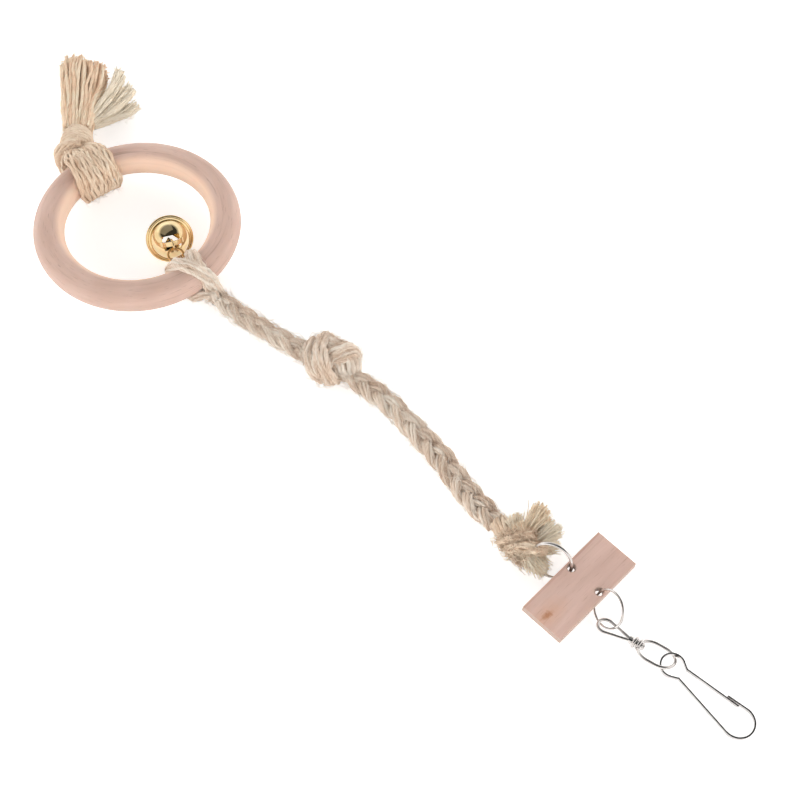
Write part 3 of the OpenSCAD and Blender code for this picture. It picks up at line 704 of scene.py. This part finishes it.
def make_ring_hitch(starts):
    """Strands that run from the ring into the starts of the braid's strands."""
    yarns = Yarns(seed=7)
    for count, half, strand, points in HITCH_STRANDS:
        line = smooth(points + [tuple(p) for p in starts[strand]])
        s = lengths(line)
        narrow = np.interp(s[-1] - s, HITCH_TO_GO, (*HITCH_NARROW, half))
        axes = outward_axes(line, HITCH_CENTRE)
        yarns.ribbon(line, axes, count, narrow, crown=0.5, radius=0.6, layers=3)
        yarns.fibres(line[len(line) // 2:], reach=1.4, count=90, stand=0.8)
    yarns.build("ring_hitch", JUTE, "rope", "jute_rope", "rope_ring_hitch")


# End knot: its centre on the table, the way it lies and how far it is lifted
END_CENTRE = np.array([82.46, -5.45, 0.0])
END_LIE = unit(np.array([11, -1.0, 0]))
END_SIDE = np.cross(UP, END_LIE)
END_LIFT = 0.9
# Its wraps, each with its yarns, half width and the points of its loop
END_WRAPS = [
    (5, 1.4, [
        (-5.4, -3, 2), (-4.4, -3.4, 5), (-2.2, -1.2, 7.8), (1, 2.4, 8), (2.6, 3.9, 5),
        (1.8, 3.2, 1.6), (-2.6, 0, 0),
    ]),
    (5, 1.5, [(-1, -4, 3), (1.6, -2.6, 7.2), (5.2, 0.4, 8), (7, 3, 5), (5, 2.6, 1.4), (1.4, -1, 0)]),
]
END_WRAP_CENTRE = (-0.5, 0, 3.8)
END_CORE = [(-10.4, 0.4, 3), (-5, 0, 3.6), (0, 0, 3.8), (6, 0, 3.6)]
END_HAIRY = [(-5.5, 0, 3.6), (0, 0, 3.8), (6, 0, 3.6)]

# Frayed ends that stand out of the end knot
# Each has its place in the knot, heading and lift, length, half widths, fibres and tones
FRAYED_ENDS = [
    ((-0.6, 1.2, 5), (98, 18), 12.6, 1.4, 4.2, 360, (0.1, 0.9)),
    ((3.0, 1.2, 5), (78, 16), 11.6, 1.4, 3.0, 230, (0.8, 1.7)),
    ((5.6, 1.6, 4), (64, 8), 7.6, 1.0, 2.2, 110, (0.7, 1.5)),
    ((1.6, 0.8, 6), (160, 10), 7.0, 1.8, 3.2, 260, (0.2, 1.1)),
    ((0.6, 0.2, 4.8), (-14, -2), 12.4, 2.2, 2.8, 320, (0.6, 1.6)),
    ((-1.5, 0.6, 7.4), (140, 2), 7.0, 1.6, 2.6, 190, (0.2, 1.1)),
]


def at_end(x, y, z):
    """A point by its place along the end knot, beside it and above its base."""
    return END_CENTRE + END_LIE * x + END_SIDE * y + UP * (z + END_LIFT)


def make_end_knot():
    """Two hairy wraps round the rope's end."""
    yarns = Yarns(seed=13)
    centre = at_end(*END_WRAP_CENTRE)
    for count, half, points in END_WRAPS:
        line = smooth([at_end(*p) for p in points], closed=True)
        yarns.ribbon(line, outward_axes(line, centre), count, half, crown=0.5, radius=0.5)
        yarns.fibres(line, reach=1.0, count=500, stand=1.5, long=(1.2, 3.6), radius=0.09)
    core = smooth([at_end(*p) for p in END_CORE])
    yarns.bundle(core, carried_axes(core), count=12, wide=2.7, high=2.4, radius=0.7, twist=1 / 50)
    hairy = smooth([at_end(*p) for p in END_HAIRY])
    yarns.fibres(hairy, reach=4.2, count=1000, stand=1.6, long=(1.2, 4), radius=0.09)
    yarns.build("end_knot", TASSEL, "rope", "jute_rope", "rope_end_knot")


def make_frayed_ends():
    """Tufts where the yarns come undone."""
    yarns = Yarns(seed=17)
    for place, lie, length, near, far, count, tones in FRAYED_ENDS:
        yarns.tuft(at_end(*place), heading(*lie), length, near, far, count, tones=tones, fine=0.2)
    yarns.build("frayed_tufts", TUFT, "rope", "frayed_jute", "rope_frayed_ends")


# Tassel: a band over the ring, its neck, and the fringe with a side lock
TASSEL_CENTRE = np.array([-119.66, 1.07, 8.5])
TASSEL_HEADING = 168
TASSEL_OUT = heading(TASSEL_HEADING)
TASSEL_SIDE = np.cross(UP, TASSEL_OUT)
# The band's yarns, their radius, its half width and how far its middle lies aside
BAND_YARNS = 17
BAND_YARN_RADIUS = 0.52
BAND_HALF = 7.6
BAND_SHIFT = 2.0
# The band's lower layer lies this much nearer to the ring
BAND_INNER = 0.8
# Beneath the ring the yarns draw together to this share
BAND_UNDER = 0.8
# Their middles stay this far above the floor gap
BAND_CLEAR = 0.7
# The band stands this share further off the ring at its sides, where the ring bends away
BAND_OPEN = 0.14
# A yarn's place across the band, and where it then leaves the neck
BAND_ACROSS = (-6, 0, 9.6)
BAND_AT_NECK = (-2.0, 0.6, 5.4)
BAND_CORE = [(12.5, 1.2, 0), (9.6, 1.2, 0), (6.8, 1.2, 0)]


def at_tassel(x, y, z):
    """A point by its place outwards from the middle of the ring's wood, aside and above."""
    return TASSEL_CENTRE + TASSEL_OUT * x + TASSEL_SIDE * y + UP * z


def band_loop(y, lift):
    """The way of one of the band's yarns from the neck over the ring and back beneath it."""
    root = np.interp(y, BAND_ACROSS, BAND_AT_NECK)
    under = y * BAND_UNDER
    return [
        (11.5, root, 2.4),
        (8.6, 0.75 * root + 0.25 * y, 4.0 + lift),
        (5.2, 0.3 * root + 0.7 * y, 5.9 + lift),
        (0.6, 0.96 * y, 7.5 + lift),
        (-5.6, y, 5.4 + lift),
        (-8.6 - lift, y, 0.0),
        (-6.0, under, -5.3 - lift),
        (0.0, under, -7.3 - lift),
        (5.4, 0.7 * under, -5.3 - lift),
        (8.8, 0.45 * under, -3.2 - lift),
        (11.5, 0.3 * under, -1.6),
    ]


def make_band():
    """Two layers of yarns laid over the ring, and the core that runs to the neck."""
    yarns = Yarns(seed=19)
    rng = yarns.rng
    for layer in range(2):
        for i in range(BAND_YARNS + layer):
            y = (2 * (i + 0.5) / (BAND_YARNS + layer) - 1) * BAND_HALF + BAND_SHIFT
            open_out = 1 + BAND_OPEN * (y / BAND_HALF) ** 2
            loop = band_loop(y, -BAND_INNER * layer)
            line = smooth([at_tassel(px, py, pz * open_out) for px, py, pz in loop])
            s = lengths(line)
            line = line + ripple(s, rng, size=0.42, pitch=14)[:, None] * TASSEL_SIDE
            line[:, 2] += ripple(s, rng, size=0.25, pitch=10)
            line[:, 2] = np.maximum(line[:, 2], FLOOR_GAP + BAND_CLEAR)
            yarns.tube(line, BAND_YARN_RADIUS * (1 + ripple(s, rng, size=0.12, pitch=9)), plies=2)
            if layer == 0:
                yarns.fibres(line, reach=0.7, count=24, stand=0.4)
    core = smooth([at_tassel(*p) for p in BAND_CORE])
    yarns.bundle(core, carried_axes(core), count=12, wide=3.6, high=3.6, radius=0.8, twist=1 / 50)
    yarns.build("tassel_band", TASSEL, "tassel", "tassel_yarn", "tassel_hitch")


# Neck of the tassel
NECK_CENTRE = np.array([-133.35, 3.98, 8.5])
NECK_OUT = heading(134)
NECK_POINTS = 500
# The cord that binds it: its radius, its turns each way from the middle, and their reach
NECK_CORD = 0.62
NECK_TURNS = 3.4
NECK_REACH = 3.7
# How far each turn leans along the neck, and how far round it that begins, in radians
NECK_LEAN, LEAN_TURN = 1.5, 0.6
# Its radius round the neck at the middle, and how much less that is at the ends
NECK_RADIUS, NECK_LESS = 5.3, 0.9
# The yarns beneath it reach this far each way and lie round a filling of this radius
NECK_UNDER = 5.4
NECK_FILLING = 3.9
# A lobe of the band's yarns that passes before the neck
NECK_LOBE = [
    (-129.4, 3.0, 13.0), (-131.8, -0.4, 12.4), (-133.0, -3.6, 9.4), (-131.4, -5.0, 6),
    (-127.6, -5.6, 4), (-123.6, -5, 3.6),
]


def make_neck():
    """A binding cord over the tassel's yarns, with a lobe before it."""
    yarns = Yarns(seed=23)
    side = np.cross(UP, NECK_OUT)
    t = np.linspace(-1, 1, NECK_POINTS)
    a = 2 * np.pi * NECK_TURNS * t
    swell = NECK_RADIUS - NECK_LESS * t ** 2
    lean = NECK_LEAN * np.sin(a - LEAN_TURN)
    along = NECK_OUT * (NECK_REACH * t + lean)[:, None]
    helix = NECK_CENTRE + along + side * (swell * np.cos(a))[:, None] + UP * (swell * np.sin(a))[:, None]
    helix = even(helix, STEP)
    wander = ripple(lengths(helix), yarns.rng, size=0.25, pitch=17)
    yarns.tube(helix + wander[:, None] * NECK_OUT, NECK_CORD, plies=2, tone=0.7)
    ends = NECK_OUT * NECK_UNDER
    under = smooth([NECK_CENTRE - ends, NECK_CENTRE, NECK_CENTRE + ends], 1.0)
    axes = carried_axes(under)
    yarns.bundle(under, axes, count=16, wide=4.0, high=4.0, radius=0.95, twist=1 / 50, core=False)
    yarns.tube(under, NECK_FILLING, sides=16, tone=0.2)
    lobe = smooth(NECK_LOBE)
    axes = outward_axes(lobe, NECK_CENTRE)
    yarns.ribbon(lobe, axes, count=5, half=2.2, crown=0.6, radius=0.7, layers=3)
    yarns.fibres(under, reach=5.4, count=140, stand=0.9)
    yarns.build("tassel_neck", TASSEL, "tassel", "tassel_yarn", "tassel_neck_knot")


# Fringe: the two ends of its root, and its tips from one side to the other
FRINGE_ROOT = [(-142.4, 6.2), (-135.9, 12.7)]
FRINGE_TIPS = [(-172.2, 29.8), (-171.0, 33.2), (-168.2, 36.4), (-163.6, 38.4), (-157.6, 38.6)]
# Each layer has its yarns, their height at the root and at the tips, and their radius
FRINGE_LAYERS = [
    (19, 11.6, 6.4, 0.58),
    (18, 9.8, 4.8, 0.6),
    (9, 9.2, 4.2, 1.2),
    (17, 7.0, 2.6, 0.6),
    (14, 5.4, 1.4, 0.6),
]
# Places of a yarn's points, as shares of its length: the first, before its root, is tucked this
# deep into the neck
TUCK, TUCK_SHARE = 2.0, 0.08
FRINGE_SHARES = (-TUCK_SHARE, 0.1, 0.35, 0.6, 0.82, 1.0)
# No point of it lies lower than this
FRINGE_LOW = 1.1
# A yarn ends between these shares of the way to the tips
FRINGE_ENDS = (0.86, 0.96)
# It is thinner at its root and its end: shares of its length and of its radius
TAPER_AT = (0, 0.3, 0.9, 1)
TAPER = (0.8, 1, 1, 0.8)
# The tuft at a yarn's end starts at this point of it, counted from the last
FRINGE_TUFT_AT = -6


def make_fringe():
    """Layers of yarns that spread from the neck, each with a small tuft at its end."""
    yarns = Yarns(seed=29)
    rng = yarns.rng
    root = np.array(FRINGE_ROOT)
    tips = np.array(FRINGE_TIPS)
    spots = np.linspace(0, 1, len(tips))
    for count, root_z, tip_z, thick in FRINGE_LAYERS:
        for i in range(count):
            q = min(1.0, max(0.0, (i + 0.5) / count + rng.uniform(-0.04, 0.04)))
            near = root[0] + (root[1] - root[0]) * q
            far = np.array([np.interp(q, spots, tips[:, k]) for k in range(2)])
            back = unit(near - far)
            end = near + (far - near) * rng.uniform(*FRINGE_ENDS)
            points = []
            for u in FRINGE_SHARES:
                out = max(u, 0)
                flat = near + (end - near) * out + back * TUCK * max(-u, 0) / TUCK_SHARE
                wander = rng.uniform(-0.8, 0.8) * min(1, out * 2)
                x, y = flat[0] - back[1] * wander, flat[1] + back[0] * wander
                z = root_z + (tip_z - root_z) * out ** 0.8 + rng.uniform(-0.5, 0.5)
                points.append([x, y, max(FRINGE_LOW, z)])
            line = smooth(points)
            s = lengths(line)
            taper = np.interp(s / s[-1], TAPER_AT, TAPER)
            radius = thick * rng.uniform(0.86, 1.14) * (1 + ripple(s, rng, size=0.08, pitch=12)) * taper
            yarns.tube(line, radius, plies=2, pitch=rng.uniform(6, 9), lobe=0.08, rough=0.08)
            yarns.fibres(line, reach=0.6, count=12, stand=0.8)
            tuft_root = line[FRINGE_TUFT_AT]
            lie = unit(line[-1] - tuft_root)
            yarns.tuft(tuft_root, lie, length=2.6, near=0.4, far=0.7, count=5, clumps=4)
    yarns.build("tassel_yarns", FRINGE, "tassel", "tassel_yarn", "tassel_fringe")


# Side lock: loose strands of yarn, and fans of fibres that fill it out
LOCKS = [
    [(-140.2, 14.6, 8), (-142.6, 22, 8), (-147, 32, 6.4), (-152.8, 39.6, 4.4)],
    [(-139.8, 15, 7), (-141, 22, 7), (-145.2, 32, 5.6), (-150.4, 39.2, 3.6)],
    [(-139.4, 15.4, 6), (-138.4, 22, 6), (-139.6, 30.6, 4.6), (-142.8, 37.6, 3)],
    [(-139.2, 15.8, 5), (-137.2, 21.4, 4.6), (-135.2, 27.6, 3.6), (-136, 33.2, 2.4)],
]
# A strand's half width at its root, middle and end, and its half height as a share of that
LOCK_HALF = (0.5, 0.75, 1.15)
LOCK_FLAT = 0.8
# The tuft at its end starts at this point of it, counted from the last
LOCK_TUFT_AT = -5
# Each fan has its root, heading and lift, the bend of its tips, length, half width and fibres
LOCK_FANS = [
    ((-138.6, 15.4, 5.4), (76, -8), (-5, 1, 0), 19, 4.2, 90),
    ((-139.4, 15.2, 6.4), (96, -6), (-4, 1, 0), 23, 2.8, 60),
]


def make_side_lock():
    """Strands that come loose beside the fringe and fray."""
    yarns = Yarns(seed=31)
    for points in LOCKS:
        line = smooth(points)
        s = lengths(line)
        wide = np.interp(s / s[-1], (0, 0.5, 1), LOCK_HALF)
        yarns.bundle(
            line, carried_axes(line), count=9,
            wide=wide, high=wide * LOCK_FLAT, radius=0.36, twist=1 / 90, tones=(0.9, 1.5),
        )
        yarns.fibres(line, reach=1.1, count=60, stand=0.8)
        tuft_root = line[LOCK_TUFT_AT]
        lie = unit(line[-1] - tuft_root)
        yarns.tuft(
            tuft_root, lie, length=3.4, near=0.9, far=1.3, count=14, clumps=7, tones=(0.5, 1.4)
        )
    for root, toward, bend, length, far, count in LOCK_FANS:
        yarns.tuft(
            np.array(root), heading(*toward), length, near=1.6, far=far, count=count,
            bend=bend, flat=0.45, tones=(0.7, 1.6), clumps=9,
        )
    yarns.build("tassel_side_lock", TUFT, "tassel", "tassel_yarn", "tassel_fringe")


rope_braid, rope_line, rope_length, strand_starts = make_braid()
middle_knot = make_middle_knot()
make_ring_hitch(strand_starts)
make_end_knot()
make_frayed_ends()
make_band()
make_neck()
make_fringe()
make_side_lock()

# Finishes of the CAD pieces that stay, with places on them in metres
RING_LOW, RING_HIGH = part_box("wood_ring")
RING_CENTRE = [(low + high) / 2 for low, high in zip(RING_LOW, RING_HIGH)]
PLATE_KNOT = (0.1046, -0.0186, 0.0073)
PLATE_HOLES = ((0.09939, -0.00199), (0.11026, -0.00199))
NICKEL = metal_material("nickel", srgb(226, 223, 221), srgb(206, 202, 200), rough=0.12)
STEEL = metal_material("spring_steel", srgb(218, 215, 214), srgb(196, 193, 192), rough=0.15)
# The bell's pellet is steel, made dark as painted shade for the inside of the bell that its slots show
PELLET_SHADE_STEEL = metal_material("pellet_steel_shade", srgb(120, 106, 92), srgb(96, 84, 72), rough=0.3)
BRASS = metal_material("brass", srgb(242, 219, 174), srgb(230, 203, 154), rough=0.1)
COPPER = metal_material("copper_wire", srgb(236, 190, 128), srgb(216, 166, 104), rough=0.16)
FINISH = {
    "wood_ring": ring_wood_material(RING_CENTRE, math.radians(TASSEL_HEADING)),
    "wood_plate": plate_wood_material(PLATE_KNOT, PLATE_HOLES),
    "snap_hook_body": STEEL,
    "snap_hook_gate": STEEL,
    "swivel_oval_ring": NICKEL,
    "swivel_eye": NICKEL,
    "plate_jump_ring": NICKEL,
    "rope_ring": NICKEL,
    "bell_jump_ring": COPPER,
    "bell_link": BRASS,
    "bell_crown_shell": BRASS,
    "bell_slotted_shell": BRASS,
    "bell_pellet": PELLET_SHADE_STEEL,
}
for node, material in FINISH.items():
    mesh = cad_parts[node].data
    mesh.materials.clear()
    mesh.materials.append(material)
    mesh.polygons.foreach_set("material_index", [0] * len(mesh.polygons))


# The strip bends here between the hook's eye and its gate
GATE_ROOT = np.array([145.0, -1.92, 2.53])
HOOK_LIE = unit(np.array([0.997, 0.125, -0.076]))
STRIP_HALF = (0.55, 0.22, 0.64)


def make_gate_root():
    """A short flat bar in the strip's own section."""
    side = unit(np.cross(UP, HOOK_LIE))
    high = np.cross(HOOK_LIE, side)
    middle = GATE_ROOT - HOOK_LIE * STRIP_HALF[0]
    corners = [
        middle + HOOK_LIE * STRIP_HALF[0] * i + side * STRIP_HALF[1] * j + high * STRIP_HALF[2] * k
        for i in (-1, 1) for j in (-1, 1) for k in (-1, 1)
    ]
    faces = [(0, 1, 3, 2), (4, 6, 7, 5), (0, 4, 5, 1), (2, 3, 7, 6), (0, 2, 6, 4), (1, 5, 7, 3)]
    mesh = bpy.data.meshes.new("gate_root_bend")
    mesh.from_pydata([tuple(p * MM) for p in corners], [], faces)
    mesh.materials.append(STEEL)
    piece = placed("gate_root_bend", mesh)
    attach(piece, "hook")


make_gate_root()

# Floor, sky and lamp: a light tent, bright round the sides and dim overhead
# The floor's half side and its height are in metres
FLOOR_HALF, FLOOR_HEIGHT = 3.0, -0.0005
FLOOR_CORNERS = ((-1, -1), (1, -1), (1, 1), (-1, 1))
FLOOR_GREY = 0.93
# White that the floor adds of its own where the camera, metal or glass shows it
FLOOR_GLOW = 0.5
# The sky's colour up to the first height and from the second, as sines of the elevation
SIDES_TO, SIDES_COLOUR = 0.5, (1.0, 0.975, 0.945, 1)
TOP_FROM, TOP_COLOUR = 0.72, (0.035, 0.035, 0.036, 1)
# Its strength as light, and as metal mirrors it
SKY_LIGHT, SKY_MIRRORED = 2.3, 1.15


def make_floor():
    """A wide white table top, just beneath the toy."""
    mesh = bpy.data.meshes.new("floor")
    corners = [(FLOOR_HALF * i, FLOOR_HALF * j, FLOOR_HEIGHT) for i, j in FLOOR_CORNERS]
    mesh.from_pydata(corners, [], [(0, 1, 2, 3)])
    floor = placed("floor", mesh)
    m = Nodes("floor_white")
    m.set(Base_Color=(FLOOR_GREY, FLOOR_GREY, FLOOR_GREY, 1), Roughness=0.9, Specular_IOR_Level=0.1)
    ray = m.node("LightPath").outputs
    seen = m.math("MAXIMUM", ray["Is Camera Ray"], ray["Is Glossy Ray"])
    seen = m.math("MAXIMUM", seen, ray["Is Transmission Ray"])
    m.link(m.math("MULTIPLY", seen, FLOOR_GLOW), m.shader.inputs["Emission Strength"])
    m.set(Emission_Color=(1, 1, 1, 1))
    mesh.materials.append(m.material)


def make_world():
    """A sky that lights the toy from its sides, and is dimmer where metal mirrors it."""
    world = bpy.data.worlds.new("light_tent")
    bpy.context.scene.world = world
    world.use_nodes = True
    tree = world.node_tree
    direction = tree.nodes.new("ShaderNodeTexCoord").outputs["Generated"]
    parts = tree.nodes.new("ShaderNodeSeparateXYZ")
    ramp = tree.nodes.new("ShaderNodeValToRGB")
    tree.links.new(direction, parts.inputs[0])
    tree.links.new(parts.outputs["Z"], ramp.inputs["Fac"])
    stops = ramp.color_ramp.elements
    stops[0].position, stops[0].color = SIDES_TO, SIDES_COLOUR
    stops[1].position, stops[1].color = TOP_FROM, TOP_COLOUR
    back = tree.nodes["Background"]
    tree.links.new(ramp.outputs["Color"], back.inputs["Color"])
    mirrored = tree.nodes.new("ShaderNodeLightPath").outputs["Is Glossy Ray"]
    level = tree.nodes.new("ShaderNodeMapRange")
    level.inputs["To Min"].default_value = SKY_LIGHT
    level.inputs["To Max"].default_value = SKY_MIRRORED
    tree.links.new(mirrored, level.inputs["Value"])
    tree.links.new(level.outputs["Result"], back.inputs["Strength"])


def make_lamp(name, place, energy, size):
    """A square lamp that faces the origin, by its place and side in metres and its watts."""
    data = bpy.data.lights.new(name, "AREA")
    data.energy = energy
    data.size = size
    lamp = placed(name, data)
    lamp.location = place
    lamp.rotation_mode = "QUATERNION"
    lamp.rotation_quaternion = (-Vector(place)).to_track_quat("-Z", "Y")


make_floor()
make_world()
make_lamp("key", place=(-0.9, 0.1, 1.3), energy=3, size=2.0)
bpy.context.scene.view_settings.view_transform = "Standard"
